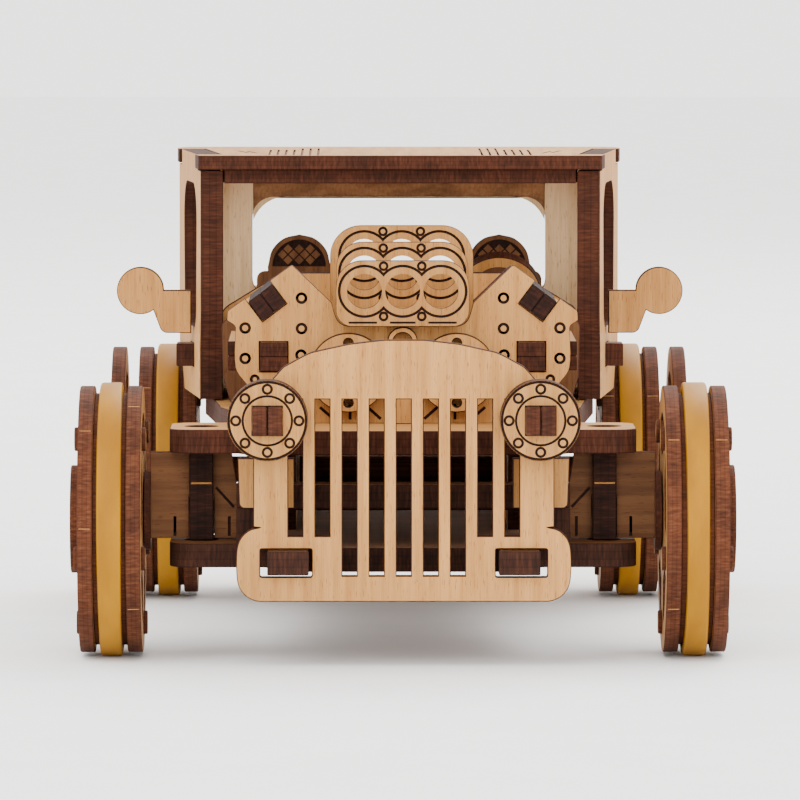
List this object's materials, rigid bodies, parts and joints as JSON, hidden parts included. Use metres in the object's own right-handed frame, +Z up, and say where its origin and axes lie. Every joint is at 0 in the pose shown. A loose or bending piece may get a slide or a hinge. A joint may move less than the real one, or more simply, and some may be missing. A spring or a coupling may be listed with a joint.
{
  "type": "wooden model car",
  "caption": "Laser-cut plywood hot-rod model car with steering front wheels, rolling wheels with rubber-band tyres, slotted grille, open engine with air scoop and a cab.",
  "frame": {"origin": "on the ground under the middle of the car's length and width", "axes": "+Z up, the car faces -Y, +X is the car's left side"},
  "size_m": [0.117, 0.188, 0.086],
  "materials": {
    "thin_ply": "laser-cut birch plywood, 2.6 mm, burnt edges",
    "thick_ply": "laser-cut birch plywood, 4.2 mm, burnt edges",
    "burnt_ply": "plywood seen mostly at its laser-burnt edge",
    "rubber_band": "translucent ochre natural rubber"
  },
  "bodies": {
    "root": {"chassis_bottom_plate": "thick_ply", "chassis_top_plate": "thick_ply", "front_crossmember": "thick_ply", "rear_bumper": "thin_ply", "grille": "thin_ply", "engine_front_plate": "thin_ply", "engine_rear_plate": "thin_ply", "engine_deck_lower": "thin_ply", "engine_deck_upper": "thin_ply", "water_pump_plate": "thin_ply", "scoop_front": "thin_ply", "scoop_middle": "thin_ply", "scoop_rear": "thin_ply", "roof": "thin_ply", "windscreen_header": "thin_ply", "rear_panel": "thin_ply", "cab_floor": "thick_ply", "firewall": "thin_ply", "scuttle": "thin_ply", "dashboard": "thin_ply", "boot_lid": "thin_ply", "chassis_rail_left": "thick_ply", "grille_stay_left": "thin_ply", "headlight_left": "thin_ply", "headlight_bracket_left": "burnt_ply", "valve_cover_left": "thin_ply", "cab_side_left": "thick_ply", "boot_side_left": "thin_ply", "seat_left": "thin_ply", "mirror_left": "thin_ply", "chassis_rail_right": "thick_ply", "grille_stay_right": "thin_ply", "headlight_right": "thin_ply", "headlight_bracket_right": "burnt_ply", "valve_cover_right": "thin_ply", "cab_side_right": "thick_ply", "boot_side_right": "thin_ply", "seat_right": "thin_ply", "mirror_right": "thin_ply"},
    "knuckle_left": {"knuckle_left": "thin_ply", "kingpin_post_left": "burnt_ply"},
    "front_wheel_left": {"front_wheel_left_inner": "thin_ply", "front_wheel_left_tyre": "rubber_band", "front_wheel_left_outer": "thin_ply"},
    "pulley_left": {"pulley_left": "thin_ply"},
    "knuckle_right": {"knuckle_right": "thin_ply", "kingpin_post_right": "burnt_ply"},
    "front_wheel_right": {"front_wheel_right_inner": "thin_ply", "front_wheel_right_tyre": "rubber_band", "front_wheel_right_outer": "thin_ply"},
    "pulley_right": {"pulley_right": "thin_ply"},
    "tie_rod": {"tie_rod": "thin_ply"},
    "steering_wheel": {"steering_wheel": "thin_ply"},
    "rear_axle": {"rear_axle": "thin_ply", "rear_wheel_left_inner": "thin_ply", "rear_wheel_left_tyre": "rubber_band", "rear_wheel_left_outer": "thin_ply", "rear_wheel_right_inner": "thin_ply", "rear_wheel_right_tyre": "rubber_band", "rear_wheel_right_outer": "thin_ply"}
  },
  "joints": [
    {"name": "steer_left", "type": "hinge", "parent": "root", "child": "knuckle_left", "pos_m": [0.0355, -0.06, 0.0284], "axis": [0, 0, 1], "range_deg": [-25, 25]},
    {"name": "front_wheel_left_spin", "type": "hinge", "parent": "knuckle_left", "child": "front_wheel_left", "pos_m": [0.05, -0.06, 0.0241], "axis": [1, 0, 0], "continuous": true},
    {"name": "pulley_left_spin", "type": "hinge", "parent": "root", "child": "pulley_left", "pos_m": [0.0096, -0.0535, 0.0496], "axis": [0, 1, 0], "continuous": true},
    {"name": "steer_right", "type": "hinge", "parent": "root", "child": "knuckle_right", "pos_m": [-0.0355, -0.06, 0.0284], "axis": [0, 0, 1], "range_deg": [-25, 25]},
    {"name": "front_wheel_right_spin", "type": "hinge", "parent": "knuckle_right", "child": "front_wheel_right", "pos_m": [-0.05, -0.06, 0.0241], "axis": [1, 0, 0], "continuous": true},
    {"name": "pulley_right_spin", "type": "hinge", "parent": "root", "child": "pulley_right", "pos_m": [-0.0096, -0.0535, 0.0496], "axis": [0, 1, 0], "continuous": true},
    {"name": "tie_rod_pivot", "type": "hinge", "parent": "knuckle_left", "child": "tie_rod", "pos_m": [0.0355, -0.047, 0.0261], "axis": [0, 0, 1], "range_deg": [-25, 25]},
    {"name": "steering_wheel_turn", "type": "hinge", "parent": "root", "child": "steering_wheel", "pos_m": [0.0186, 0.0331, 0.0597], "axis": [0, 0.9135, 0.4067], "range_deg": [-90, 90]},
    {"name": "rear_axle_spin", "type": "hinge", "parent": "root", "child": "rear_axle", "pos_m": [0, 0.067, 0.0241], "axis": [1, 0, 0], "continuous": true}
  ],
  "couplings": [
    {"joint": "steer_right", "follows": "steer_left", "ratio": 1},
    {"joint": "tie_rod_pivot", "follows": "steer_left", "ratio": -1}
  ]
}
